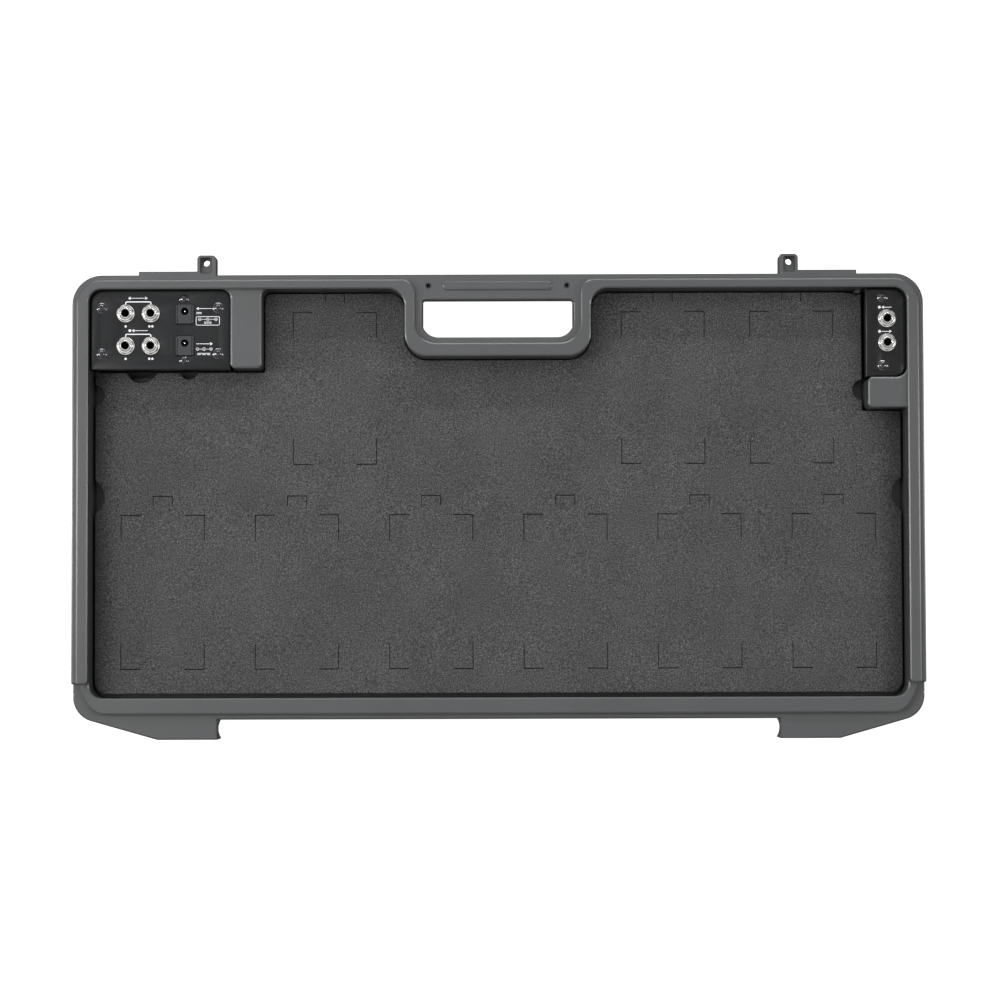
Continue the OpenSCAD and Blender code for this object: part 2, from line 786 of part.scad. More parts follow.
module jack_nuts() {
    color(NICKEL) for (j = JACKS) translate([j[1][0], j[1][1], plate_z + washer_t]) difference() {
        rotate(17) cylinder(r = nut_flat / 2 / cos(30), h = nut_t, $fn = 6);
        translate([0, 0, -1]) cylinder(r = bushing_r + thread_gap, h = nut_t + 2);
    }
}

// Bent leaf of width w: it goes from its foot in to its nose and out to its free end
module leaf(w, foot, nose, end) {
    translate([0, w / 2, 0]) rotate([90, 0, 0]) linear_extrude(w)
        polygon([foot, nose, end, end + [leaf_t, 0], nose + [1.5 * leaf_t, 0], foot + [leaf_t, 0]]);
}

module jack_tip_springs() {
    color(BRASS) for (j = JACKS) translate([j[1][0], j[1][1], 0])
        leaf(tip_w, [tip_foot_x, jack_low + jack_floor], [tip_nose_x, tip_z],
            [tip_end_x, tip_z + tip_end_h]);
}

module jack_pins() {
    color(BRASS) for (j = JACKS, d = PIN_SPOTS)
        translate([j[1][0] + d[0], j[1][1] + d[1], jack_low - board_t - pin_tail])
            cylinder(r = pin_r, h = board_t + pin_tail);
}

module jack_board(x0, y0, x1, y1, from, to) {
    color(BOARD_GREEN) difference() {
        translate([x0, y0, jack_low - board_t]) cube([x1 - x0, y1 - y0, board_t]);
        for (i = [from : to], d = PIN_SPOTS)
            translate([JACKS[i][1][0] + d[0], JACKS[i][1][1] + d[1], jack_low - board_t - 1])
                cylinder(r = pin_r + 0.2, h = board_t + 2);
    }
}

module output_jack_board() {
    jack_board(out_jack_x - board_side, out_jack_y - jack_row - board_end,
        out_jack_x + jack_col + board_side, out_jack_y + board_end, 0, 3);
}

module input_jack_board() {
    jack_board(in_jack_x - board_side, in_jack_y - input_row - board_end,
        in_jack_x + board_side, in_jack_y + board_end, 4, 5);
}

// Square plastic power socket with a barrel hole off its middle
module dc_jack(y) {
    leaf_room = dc_leaf_w + 0.4;
    color(DC_GREY) translate([dc_x, y, 0]) difference() {
        translate([-dc_w / 2, -dc_d / 2, dc_low]) cube([dc_w, dc_d, dc_top - dc_low]);
        translate([0, dc_hole_y, dc_hole_low]) cylinder(r = dc_hole_r, h = ridge_z);
        translate([0, dc_hole_y, dc_low - 1]) cylinder(r = dc_pin_r + 0.05, h = ridge_z);
        translate([0, dc_hole_y - leaf_room / 2, dc_leaf_foot[1]])
            cube([dc_leaf_foot[0] + 2 * leaf_t, leaf_room, dc_leaf_end[1] + 0.5 - dc_leaf_foot[1]]);
        for (s = [-1, 1])
            translate([s * (dc_w / 2 - dc_groove_in) - dc_groove_w / 2, -dc_d, dc_top - dc_groove_d])
                cube([dc_groove_w, 2 * dc_d, 2]);
    }
}

module dc_pin(y) {
    color(NICKEL) translate([dc_x, y + dc_hole_y, dc_low])
        cylinder(r = dc_pin_r, h = dc_top - dc_pin_drop - dc_low);
}

module dc_sleeve_springs() {
    color(BRASS) for (y = [dc_in_y, dc_out_y]) translate([dc_x, y + dc_hole_y, 0])
        leaf(dc_leaf_w, dc_leaf_foot, dc_leaf_nose, dc_leaf_end);
}

// Plastic frame under the panel that holds both power sockets
module dc_carrier() {
    color(BOX_BLACK) difference() {
        translate([dc_x - carrier_half, dc_screw_ys[1] - carrier_end, plate_low - carrier_t])
            cube([2 * carrier_half, dc_screw_ys[0] - dc_screw_ys[1] + 2 * carrier_end, carrier_t]);
        for (y = [dc_in_y, dc_out_y])
            dc_window(y, plate_low - carrier_t, carrier_t);
        for (y = dc_screw_ys) translate([dc_screw_x, y, plate_low - carrier_t - 1])
            cylinder(r = pilot_r, h = carrier_t + 2);
    }
}

module dc_screws() {
    color(SCREW_BLACK) for (y = dc_screw_ys)
        screw_down(dc_screw_x, y, plate_z, plate_low - carrier_t - 1);
}

module power_board() {
    color(BOARD_GREEN) translate([power_board_x0, dc_out_y - power_board_end, dc_low - board_t])
        cube([power_board_x1 - power_board_x0, dc_in_y - dc_out_y + 2 * power_board_end, board_t]);
}

base_shell();
handle_cover();
handle_screws();
rubber_feet();
foot_screws();
foam_pad();
output_box();
output_panel();
output_panel_screws();
input_box();
input_panel();
input_panel_screws();
box_screws();
for (j = JACKS) {
    jack_body(j[1]);
    jack_bushing(j[1]);
}
jack_washers();
jack_nuts();
jack_tip_springs();
jack_pins();
output_jack_board();
input_jack_board();
dc_jack(dc_in_y);  // dc_in_jack
dc_jack(dc_out_y);  // dc_out_jack
dc_pin(dc_in_y);  // dc_in_pin
dc_pin(dc_out_y);  // dc_out_pin
dc_sleeve_springs();
dc_carrier();
dc_screws();
power_board();
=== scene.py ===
import json
import math
import random

import bmesh
import bpy
from mathutils import Matrix, Vector, noise


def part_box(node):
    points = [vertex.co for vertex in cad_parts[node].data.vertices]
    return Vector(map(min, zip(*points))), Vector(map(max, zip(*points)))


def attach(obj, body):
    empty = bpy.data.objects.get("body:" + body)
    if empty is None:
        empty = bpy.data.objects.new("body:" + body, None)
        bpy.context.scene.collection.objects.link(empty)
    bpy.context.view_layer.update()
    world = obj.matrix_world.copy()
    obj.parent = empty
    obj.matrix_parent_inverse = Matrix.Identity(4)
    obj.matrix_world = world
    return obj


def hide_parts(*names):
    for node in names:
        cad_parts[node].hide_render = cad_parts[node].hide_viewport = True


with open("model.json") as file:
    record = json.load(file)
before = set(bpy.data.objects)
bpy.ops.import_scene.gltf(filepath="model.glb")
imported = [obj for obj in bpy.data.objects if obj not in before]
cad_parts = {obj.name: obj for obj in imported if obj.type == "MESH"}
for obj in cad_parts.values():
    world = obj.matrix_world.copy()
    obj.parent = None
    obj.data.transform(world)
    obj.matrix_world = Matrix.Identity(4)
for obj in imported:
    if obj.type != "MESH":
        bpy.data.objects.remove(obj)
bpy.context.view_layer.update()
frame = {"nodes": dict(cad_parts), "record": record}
RNG = random.Random(7)

MM = 0.001
DEG = math.pi / 180

# Heights and edges of the moulded case, in metres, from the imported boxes
SHELL_LOW, SHELL_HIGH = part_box("base_shell")
RIDGE_Z = SHELL_HIGH.z
BAND_Z = RIDGE_Z - 6 * MM
FRONT_RIDGE_Z = RIDGE_Z - 12 * MM
FRONT_BAND_Z = BAND_Z - 12 * MM
MOULD_Z = RIDGE_Z - 4 * MM
GRIP_RIB_Z = BAND_Z + 1.2 * MM
CASE_SIDE = SHELL_HIGH.x
CASE_BACK = SHELL_HIGH.y - 16.8 * MM  # without the lock tabs
PANEL_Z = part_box("output_panel")[1].z
PANEL_T = 1.5 * MM
FOAM_LOW, FOAM_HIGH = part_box("foam_pad")

# Camera: almost straight above, tipped a little towards the back
CAMERA_TILT = 2.5 * DEG
CAMERA_ROLL = -0.17 * DEG
CAMERA_AT = Vector((1.47 * MM, -112.2 * MM, 2550.6 * MM))
CAMERA_LENS = 107.0


# ---------------------------------------------------------------- meshes

def link(name, data):
    """A new object in the scene."""
    piece = bpy.data.objects.new(name, data)
    bpy.context.scene.collection.objects.link(piece)
    return piece


def from_bmesh(name, bm, smooth_angle=30):
    """A new object from bm, smooth except along edges sharper than smooth_angle degrees."""
    bm.normal_update()
    for face in bm.faces:
        face.smooth = True
    for edge in bm.edges:
        sharp = len(edge.link_faces) == 2 and edge.calc_face_angle(0) > smooth_angle * DEG
        edge.smooth = not sharp
    mesh = bpy.data.meshes.new(name)
    bm.to_mesh(mesh)
    bm.free()
    return link(name, mesh)


def grid_cuts(bm, cell, low, high):
    """Cuts every face along upright planes cell metres apart."""
    for axis in (0, 1):
        at = low[axis] + cell * 0.53  # clear of the corners that mirror each other
        while at < high[axis]:
            place, normal = Vector(), Vector()
            place[axis], normal[axis] = at, 1
            bmesh.ops.bisect_plane(bm, geom=bm.verts[:] + bm.edges[:] + bm.faces[:], dist=1e-7,
                                   plane_co=place, plane_no=normal)
            at += cell


def cad_corners(node):
    """The CAD node's triangles as a bmesh with shared corners."""
    bm = bmesh.new()
    bm.from_mesh(frame["nodes"][node].data)
    bmesh.ops.remove_doubles(bm, verts=bm.verts, dist=1e-6)
    return bm


def cad_mesh(node):
    """The CAD node's surface as a bmesh with whole flat faces."""
    bm = cad_corners(node)
    bmesh.ops.dissolve_limit(bm, angle_limit=0.4 * DEG, verts=bm.verts, edges=bm.edges)
    bmesh.ops.recalc_face_normals(bm, faces=bm.faces)
    return bm


def solids(node):
    """(lowest corner, highest corner) of each separate solid in a CAD node, left to right."""
    bm = cad_corners(node)
    left, boxes = set(bm.verts), []
    while left:
        todo, found = [next(iter(left))], set()
        while todo:
            v = todo.pop()
            if v not in found:
                found.add(v)
                todo += [e.other_vert(v) for e in v.link_edges]
        left -= found
        boxes.append((Vector([min(v.co[i] for v in found) for i in range(3)]),
                      Vector([max(v.co[i] for v in found) for i in range(3)])))
    bm.free()
    return sorted(boxes, key=lambda b: (round(b[0].x, 4), round(b[0].y, 4)))


def middle(node_or_box):
    """The middle of a CAD node's box, or of a (low, high) pair."""
    low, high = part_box(node_or_box) if isinstance(node_or_box, str) else node_or_box
    return (low + high) / 2


def apply_modifiers(piece):
    """Turns the piece's modifiers into its mesh."""
    graph = bpy.context.evaluated_depsgraph_get()
    mesh = bpy.data.meshes.new_from_object(piece.evaluated_get(graph))
    piece.modifiers.clear()
    piece.data = mesh


def bevel(piece, width, segments, angle):
    """Rounds every edge sharper than angle degrees."""
    m = piece.modifiers.new("edges", "BEVEL")
    m.width = width
    m.segments = segments
    m.limit_method = "ANGLE"
    m.angle_limit = angle * DEG
    m.use_clamp_overlap = False
    m.harden_normals = True
    m.miter_outer = "MITER_ARC"


def cut_away(piece, cutter, crossing=False):
    """Subtracts the cutter from the piece and removes the cutter. Parts of one that overlap each
    other need crossing."""
    m = piece.modifiers.new("cut", "BOOLEAN")
    m.operation = "DIFFERENCE"
    m.solver = "EXACT"
    m.use_self = crossing
    m.object = cutter
    apply_modifiers(piece)
    bpy.data.objects.remove(cutter)


def ring(x, y, r, sides):
    """Points of a circle, counter-clockwise from +X."""
    return [(x + r * math.cos(2 * math.pi * k / sides), y + r * math.sin(2 * math.pi * k / sides))
            for k in range(sides)]


def lathe(bm, profile, at, sides=48, closed=True):
    """Turns the (radius, height) points of profile round the vertical line through at."""
    rings = []
    for r, z in profile:
        points = ring(at[0], at[1], r, 1 if r < 1e-7 else sides)
        rings.append([bm.verts.new((x, y, at[2] + z)) for x, y in points])
    for a, b in zip(rings, rings[1:] + rings[:1] if closed else rings[1:]):
        if len(a) == 1 and len(b) == 1:
            continue
        for k in range(sides):
            n = (k + 1) % sides
            corners = [a[k % len(a)], a[n % len(a)], b[n % len(b)], b[k % len(b)]]
            bm.faces.new([v for i, v in enumerate(corners) if v not in corners[:i]])


def loft(bm, *levels):
    """A closed solid through outlines [(x, y), ...] at rising heights: levels are (outline, z)."""
    rings = [[bm.verts.new((x, y, z)) for x, y in outline] for outline, z in levels]
    bm.faces.new(rings[0][::-1])
    bm.faces.new(rings[-1])
    for a, b in zip(rings, rings[1:]):
        for i in range(len(a)):
            n = (i + 1) % len(a)
            bm.faces.new((a[i], a[n], b[n], b[i]))


def solid(name, bm, smooth_angle=30):
    """A new object from closed shells built in bm, with their faces turned outwards."""
    bmesh.ops.recalc_face_normals(bm, faces=bm.faces)
    return from_bmesh(name, bm, smooth_angle)


# ---------------------------------------------------------------- materials

class Nodes:
    """Short calls that add nodes to a tree. Textures follow one texture coordinate, place."""

    def __init__(self, tree, coordinate):
        self.tree = tree
        self.place = self.node("ShaderNodeTexCoord").outputs[coordinate]

    def node(self, kind, **settings):
        made = self.tree.nodes.new(kind)
        for key, value in settings.items():
            setattr(made, key, value)
        return made

    def wire(self, source, target):
        self.tree.links.new(source, target)

    def feed(self, target, value):
        """A number, or a link from another socket, into the target socket."""
        if isinstance(value, (int, float)):
            target.default_value = value
        else:
            self.wire(value, target)

    def along(self, axis):
        """The place along one axis, in metres."""
        parts = self.node("ShaderNodeSeparateXYZ")
        self.wire(self.place, parts.inputs["Vector"])
        return parts.outputs[axis]

    def stretched(self, x, y, z):
        m = self.node("ShaderNodeMapping")
        m.inputs["Scale"].default_value = (x, y, z)
        self.wire(self.place, m.inputs["Vector"])
        return m.outputs["Vector"]

    def noise(self, size, detail=3, rough=0.5, vector=None):
        """Noise whose spots are about size metres across."""
        n = self.node("ShaderNodeTexNoise")
        n.inputs["Scale"].default_value = 1 / size
        n.inputs["Detail"].default_value = detail
        n.inputs["Roughness"].default_value = rough
        self.wire(vector or self.place, n.inputs["Vector"])
        return n.outputs["Fac"]

    def cells(self, size, feature="F1"):
        """Distances in a pattern of cells about size metres across."""
        n = self.node("ShaderNodeTexVoronoi", feature=feature)
        n.inputs["Scale"].default_value = 1 / size
        self.wire(self.place, n.inputs["Vector"])
        return n.outputs["Distance"]

    def stops(self, value, pairs):
        """Maps value onto (position, colour or grey) pairs."""
        r = self.node("ShaderNodeValToRGB")
        while len(r.color_ramp.elements) < len(pairs):
            r.color_ramp.elements.new(0.5)
        for element, (position, tone) in zip(r.color_ramp.elements, pairs):
            element.position = position
            element.color = (*tone, 1) if isinstance(tone, tuple) else (tone, tone, tone, 1)
        self.wire(value, r.inputs["Fac"])
        return r.outputs["Color"]

    def ramp(self, value, low, high, tones):
        """Maps value from low to high onto evenly spaced colours or greys."""
        apart = (high - low) / (len(tones) - 1)
        return self.stops(value, [(low + apart * i, tone) for i, tone in enumerate(tones)])

    def span(self, value, low, high, to_low, to_high):
        """Maps value from low...high onto to_low...to_high, and no further."""
        m = self.node("ShaderNodeMapRange")
        for socket, number in zip(m.inputs[1:5], (low, high, to_low, to_high)):
            socket.default_value = number
        self.wire(value, m.inputs["Value"])
        return m.outputs["Result"]

    def math(self, kind, a, b=0):
        m = self.node("ShaderNodeMath", operation=kind)
        for socket, value in zip(m.inputs, (a, b)):
            self.feed(socket, value)
        return m.outputs["Value"]

    def times(self, tone, *factors, amount=1):
        """The tone multiplied by each factor, amount of the way."""
        for factor in factors:
            m = self.node("ShaderNodeMix", data_type="RGBA", blend_type="MULTIPLY")
            for socket, value in zip((m.inputs[0], m.inputs[6], m.inputs[7]),
                                     (amount, tone, factor)):
                self.feed(socket, value)
            tone = m.outputs[2]
        return tone


class Shader(Nodes):
    """A Principled material."""

    def __init__(self, name, roughness, metallic=0.0, specular=0.5):
        self.mat = bpy.data.materials.new(name)
        self.mat.use_nodes = True
        super().__init__(self.mat.node_tree, "Object")
        self.out = self.tree.nodes["Principled BSDF"]
        self.put(Roughness=roughness, Metallic=metallic, Specular_IOR_Level=specular)

    def put(self, **inputs):
        """Numbers or sockets into the shader's own inputs, _ for each space in their names."""
        for name, value in inputs.items():
            self.feed(self.out.inputs[name.replace("_", " ")], value)

    def bump(self, *layers):
        """layers are (height socket, depth in metres), finest last."""
        normal = None
        for height, depth in layers:
            b = self.node("ShaderNodeBump")
            b.inputs["Strength"].default_value = 1
            b.inputs["Distance"].default_value = depth
            self.wire(height, b.inputs["Height"])
            if normal:
                self.wire(normal, b.inputs["Normal"])
            normal = b.outputs["Normal"]
        self.put(Normal=normal)


def shade(grey, tint):
    return tuple(grey * t for t in tint)


def painted_tray_shade(s):
    """Painted shade: 1 all over the case, and far less on the tray's floor and lower walls, which
    are painted dark for the shadow that leaves them almost black in the notches of the foam."""
    outside = s.math("MAXIMUM",
                     s.span(s.math("ABSOLUTE", s.along("X")), CASE_SIDE - 12 * MM,
                            CASE_SIDE - 10 * MM, 0, 1),
                     s.span(s.math("ABSOLUTE", s.along("Y")), CASE_BACK - 10 * MM,
                            CASE_BACK - 8 * MM, 0, 1))
    above = s.span(s.along("Z"), FOAM_LOW.z + 3 * MM, FOAM_HIGH.z, 0, 1)
    below = s.span(s.along("Z"), FOAM_LOW.z - 2 * MM, FOAM_LOW.z - 1 * MM, 1, 0)
    return s.span(s.math("MAXIMUM", outside, s.math("MAXIMUM", above, below)), 0, 1, 0.15, 1)


def moulded(name, grey, tint, roughness, grain=0.35 * MM, depth=0.012 * MM, specular=0.5, coat=0,
            paint_tray_shade=False):
    """Injection-moulded plastic: spark-eroded grain, faint flow clouds and polished patches. When
    asked for, painted shade darkens the tray's floor and lower walls."""
    s = Shader(name, roughness, specular=specular)
    fine = s.noise(grain, 3, 0.6)
    clouds = s.ramp(s.noise(60 * MM, 4), 0.3, 0.7,
                    [shade(grey * 0.94, tint), shade(grey * 1.06, tint)])
    tone = s.times(clouds, s.ramp(fine, 0.3, 0.7, [0.84, 1.0]), amount=0.6)
    # painted shade on the tray's floor and lower walls, when asked for
    s.put(Base_Color=s.times(tone, painted_tray_shade(s)) if paint_tray_shade else tone)
    scuffs = s.noise(1.4 * MM, 5, 0.65, s.stretched(0.12, 1, 1))
    patches = s.span(s.noise(22 * MM, 5, 0.6), 0.3, 0.7, roughness - 0.025, roughness + 0.025)
    s.put(Roughness=s.math("ADD", patches, s.span(scuffs, 0.62, 0.8, 0, -0.03)),
          Coat_Weight=coat, Coat_Roughness=0.22)
    s.bump((s.noise(4 * MM, 2), 0.008 * MM), (s.cells(grain * 1.4), depth), (fine, depth))
    return s.mat


def foam_material():
    """Charcoal foam: open cut cells, light and dark specks, and painted shade at its ends."""
    s = Shader("foam_grey", 0.95, specular=0.15)
    grains = s.noise(1.15 * MM, 3, 0.75)
    fine = s.noise(0.5 * MM, 2, 0.6)
    clouds = s.ramp(s.noise(45 * MM, 4), 0.3, 0.7,
                    [(0.065, 0.065, 0.0665), (0.08, 0.08, 0.0815)])
    speckle = s.ramp(grains, 0.32, 0.68, [0.12, 0.88, 2.15])
    cells = s.ramp(s.cells(0.9 * MM), 0.1, 0.6, [0.55, 1.15])
    # Painted shade: the pad gets darker towards its ends, where the case's side walls shade it
    painted_end_shade = s.span(s.math("ABSOLUTE", s.along("X")), FOAM_HIGH.x - 19 * MM, FOAM_HIGH.x - 2 * MM,
                  1, 0.6)
    s.put(Base_Color=s.times(clouds, speckle, cells, painted_end_shade),
          Roughness=s.span(fine, 0.3, 0.7, 0.86, 1.0), Sheen_Weight=0.12, Sheen_Roughness=0.6)
    s.bump((grains, 0.9 * MM), (s.cells(0.9 * MM), 0.3 * MM), (fine, 0.15 * MM))
    return s.mat


def powder_coat(name, grey, tint):
    """Black powder coat on steel: orange peel, a fine sparkle and painted light: lighter towards
    the left, darker towards the right.
    """
    s = Shader(name, 0.4, specular=0.2)
    peel = s.noise(1.6 * MM, 2, 0.4)
    grit = s.noise(0.4 * MM, 2, 0.6)
    tone = s.ramp(s.noise(25 * MM, 3), 0.3, 0.7, [shade(grey * 0.9, tint), shade(grey * 1.1, tint)])
    speck = s.ramp(grit, 0.3, 0.72, [0.75, 1.2])
    # Painted light: lighter on the left, darker on the right, as the light falls from the left
    dust_and_painted_light = s.span(s.along("X"), -CASE_SIDE, CASE_SIDE, 1.0, 0.35)
    s.put(Base_Color=s.times(tone, speck, dust_and_painted_light), Coat_Weight=0.4, Coat_Roughness=0.2,
          Roughness=s.span(s.noise(9 * MM, 4), 0.3, 0.7, 0.32, 0.4))
    s.bump((peel, 0.03 * MM), (grit, 0.02 * MM))
    return s.mat


def plated(name, colour, roughness):
    """Bright plated metal: turning marks, smudges and a slightly uneven tone."""
    s = Shader(name, roughness, metallic=1.0)
    smudge = s.noise(3 * MM, 4, 0.6)
    s.put(Base_Color=s.ramp(smudge, 0.3, 0.7, [tuple(c * 0.84 for c in colour), colour]),
          Roughness=s.span(smudge, 0.3, 0.7, roughness - 0.04, roughness + 0.1))
    s.bump((s.noise(0.35 * MM, 4, 0.6), 0.008 * MM))
    return s.mat


def black_screw():
    """Glossy black plating on steel, smudged: dark, but with the sharp glints of metal."""
    s = Shader("screw_black", 0.1, specular=0.9)
    smudge = s.noise(1.5 * MM, 4, 0.6)
    s.put(Base_Color=s.ramp(smudge, 0.3, 0.7, [(0.07, 0.07, 0.075), (0.16, 0.16, 0.165)]),
          Metallic=s.span(smudge, 0.3, 0.7, 0.75, 0.95),
          Roughness=s.span(smudge, 0.3, 0.7, 0.08, 0.15))
    s.bump((s.noise(0.3 * MM, 3), 0.004 * MM))
    return s.mat


def rubber():
    """Dull black rubber with some dust in its pores."""
    s = Shader("rubber_black", 0.8, specular=0.3)
    dust_and_painted_light = s.noise(2 * MM, 5, 0.7)
    s.put(Base_Color=s.ramp(dust_and_painted_light, 0.35, 0.75, [(0.016, 0.016, 0.016), (0.034, 0.033, 0.032)]),
          Roughness=s.span(dust_and_painted_light, 0.3, 0.7, 0.7, 0.9))
    s.bump((s.noise(0.5 * MM, 3), 0.03 * MM))
    return s.mat


def board():
    """Green solder mask over a copper pattern that shows as faint blocks."""
    s = Shader("board_green", 0.35)
    tracks = s.ramp(s.cells(3.5 * MM, "DISTANCE_TO_EDGE"), 0.05, 0.09, [1.0, 0.55])
    tone = s.ramp(s.noise(6 * MM, 3), 0.3, 0.7, [(0.012, 0.085, 0.032), (0.02, 0.12, 0.045)])
    s.put(Base_Color=s.times(tone, tracks),
          Roughness=s.span(s.noise(2 * MM, 3), 0.3, 0.7, 0.28, 0.42))
    s.bump((tracks, 0.03 * MM))
    return s.mat


def ink():
    """Silk-screened ink, pale with a lavender cast and slightly uneven cover."""
    s = Shader("panel_ink", 0.55, specular=0.3)
    cover = s.noise(0.3 * MM, 3, 0.6)
    s.put(Base_Color=s.ramp(cover, 0.3, 0.6, [(0.6, 0.6, 0.64), (0.85, 0.85, 0.88)]),
          Roughness=s.span(cover, 0.3, 0.7, 0.45, 0.65))
    s.bump((cover, 0.01 * MM))
    return s.mat


COOL = (0.98, 1.0, 1.03)
MATERIALS = {
    # the case's material carries the painted shade of the tray
    "case_grey": moulded("case_grey", 0.0675, (0.975, 1.0, 1.03), 0.38, coat=0.5, paint_tray_shade=True),
    "grip_grey": moulded("grip_grey", 0.0655, COOL, 0.46),
    "screw_black": black_screw(),
    "rubber_black": rubber(),
    "foam_grey": foam_material(),
    "box_black": moulded("box_black", 0.014, COOL, 0.5, specular=0.3),
    "panel_black": powder_coat("panel_black", 0.008, (0.92, 1.0, 1.14)),
    "nickel": plated("nickel", (0.98, 0.98, 0.96), 0.13),
    "brass": plated("brass", (0.72, 0.55, 0.26), 0.3),
    "board_green": board(),
    "socket_grey": moulded("socket_grey", 0.045, (0.93, 1.0, 1.06), 0.5, 0.25 * MM, specular=0.3),
}


def paint(piece, material):
    """Gives the piece this one material."""
    piece.data.materials.clear()
    piece.data.materials.append(material)


def finish_piece(piece, body, slot, *nodes):
    """Material, body, slot and the CAD nodes that the piece stands for."""
    paint(piece, MATERIALS[slot])
    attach(piece, body)
    if nodes:
        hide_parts(*nodes)


def rounded(node, slot, radius, segments=2):
    """The CAD node with its sharp edges rounded, as its own piece."""
    piece = from_bmesh(node + "_finished", cad_mesh(node))
    bevel(piece, radius, segments, 40)
    finish_piece(piece, "case", slot, node)


# ---------------------------------------------------------------- case

# Flat tops whose edges are rounded: (height, radius across, depth down)
CAPS = ((RIDGE_Z, 1.3 * MM, 0.75 * MM), (BAND_Z, 1.2 * MM, 0.9 * MM),
        (FRONT_RIDGE_Z, 1.5 * MM, 0.8 * MM), (FRONT_BAND_Z, 1.2 * MM, 0.9 * MM),
        (MOULD_Z, 1.5 * MM, 0.85 * MM), (GRIP_RIB_Z, 1.2 * MM, 0.75 * MM))
# Profile of a rounded edge: (part of the radius inwards, part of the depth down)
EDGE = ((0, 1), (0.08, 0.76), (0.9, 0.05))


def wall_of(edge, caps):
    """The face of a cap's edge that isn't a cap."""
    return next(f for f in edge.link_faces if f not in caps)


def cut_plane(bm, faces, at, normal):
    """Cuts only these faces along a plane, and returns the corners on the cut."""
    geom = dict.fromkeys([*faces, *(e for f in faces for e in f.edges),
                          *(v for f in faces for v in f.verts)])
    made = bmesh.ops.bisect_plane(bm, geom=list(geom), dist=1e-7, plane_co=at, plane_no=normal)
    return [g for g in made["geom_cut"] if isinstance(g, bmesh.types.BMVert)]


def split_ends(bm, caps, part, fixed, radius):
    """Cuts the walls upright where a run of rounded edges ends, so that their faces stay flat."""
    for e in list(part):
        for end in [v for v in e.verts if v in fixed]:
            onward = (e.other_vert(end).co - end.co).normalized()
            for reach in (0, 1.5 * radius):
                if e.calc_length() < reach + radius:
                    continue
                at = end.co + onward * reach
                for v in cut_plane(bm, [wall_of(e, caps)], at, onward):
                    if reach and (v.co - at).length < 1e-6:
                        halves = [h for h in v.link_edges if any(f in caps for f in h.link_faces)]
                        part.update(dict.fromkeys(halves, part[e]))


def column(v):
    """The same for all corners that stand above each other."""
    return round(v.co.x, 6), round(v.co.y, 6)


def soften(bm, level, radius, depth, way=1, chosen=lambda mid: 1):
    """Rounds the outer edges of the flat caps at a level, which face up (way 1) or down (-1). The
    walls are cut along EDGE and each cut is drawn in. chosen(middle of an edge) gives the part of
    the radius that the edge gets."""
    caps = {f for f in bm.faces if f.normal.z * way > 0.999
            and all(abs(v.co.z - level) < 1e-5 for v in f.verts)}
    rim = [e for e in bm.edges
           if len(e.link_faces) == 2 and sum(f in caps for f in e.link_faces) == 1]
    part = {}
    for e in rim:
        share = chosen((e.verts[0].co + e.verts[1].co) / 2)
        if share and e.is_convex and abs(wall_of(e, caps).normal.z) < 0.01:
            part[e] = share
    fixed = {v for e in rim if e not in part for v in e.verts}
    split_ends(bm, caps, part, fixed, radius)
    pull = {}
    for v in dict.fromkeys(v for e in part for v in e.verts):
        sides = [e for e in v.link_edges if e in part]
        if v not in fixed and len(sides) == 2:
            a, b = (-wall_of(e, caps).normal.to_2d().normalized() for e in sides)
            share = min(part[e] for e in sides)
            pull[v] = ((a + b) / max(0.3, 1 + a.dot(b)) * radius * share).to_3d()
    cuts = []
    for inwards, down in EDGE:
        walls = list(dict.fromkeys(wall_of(e, caps) for e in part))
        height = level - way * depth * down
        cuts.append((inwards, cut_plane(bm, walls, (0, 0, height), (0, 0, 1))))
    above = {column(v): drawn for v, drawn in pull.items()}
    for inwards, verts in cuts:
        for v in verts:
            v.co += above.get(column(v), Vector()) * inwards
    for v, drawn in pull.items():
        v.co += drawn
    rim = [e for e in bm.edges if sum(f in caps for f in e.link_faces) == 1]
    bmesh.ops.delete(bm, geom=list(caps), context="FACES_KEEP_BOUNDARY")
    bmesh.ops.triangle_fill(bm, edges=rim, use_beauty=True, normal=(0, 0, way))


def tab_share(mid):
    """The lock tabs behind the case get less of each radius."""
    return 0.4 if mid.y > CASE_BACK + 0.2 * MM else 1


def outermost(mid):
    """True at the case's outer walls, not at its ribs, feet or openings."""
    return max(abs(mid.x) / CASE_SIDE, abs(mid.y) / CASE_BACK) > 0.97


def case():
    """The moulded case with the rounded edges that a mould gives it."""
    bm = cad_mesh("base_shell")
    for level, radius, depth in CAPS:
        bm.normal_update()
        soften(bm, level, radius, depth, chosen=tab_share)
    bm.normal_update()
    soften(bm, SHELL_LOW.z, 2 * MM, 2 * MM, -1, outermost)
    piece = from_bmesh("moulded_case", bm)
    m = piece.modifiers.new("flats", "WEIGHTED_NORMAL")
    m.keep_sharp = True
    m.weight = 100
    finish_piece(piece, "case", "case_grey", "base_shell")


def sheet(node, radius):
    """A folded steel sheet with the soft upper edge that folding and coating leave."""
    bm = cad_mesh(node)
    soften(bm, PANEL_Z, radius, radius * 0.6)
    finish_piece(from_bmesh(node + "_finished", bm), "case", "panel_black", node)


# ---------------------------------------------------------------- foam

# Each pedal's place is four L-shaped slits, with a small slit tab behind it:
# (middle, back edge, front edge) of each place
PEDAL_STEP = 113.8 * MM
ROW_FRONT = [((i - 2.5) * PEDAL_STEP, -14.5 * MM, -145 * MM) for i in range(6)]
ROW_BACK = [(x * MM, 157.7 * MM, 28.4 * MM) for x in (-138.5, 140.3, 249.6)]
PEDAL_HALF = 35.3 * MM
ARM_X, ARM_Y = 16.3 * MM, 21.5 * MM
TAB_HALF, TAB_BEHIND, TAB_LEG = 8.15 * MM, 16.1 * MM, 8 * MM
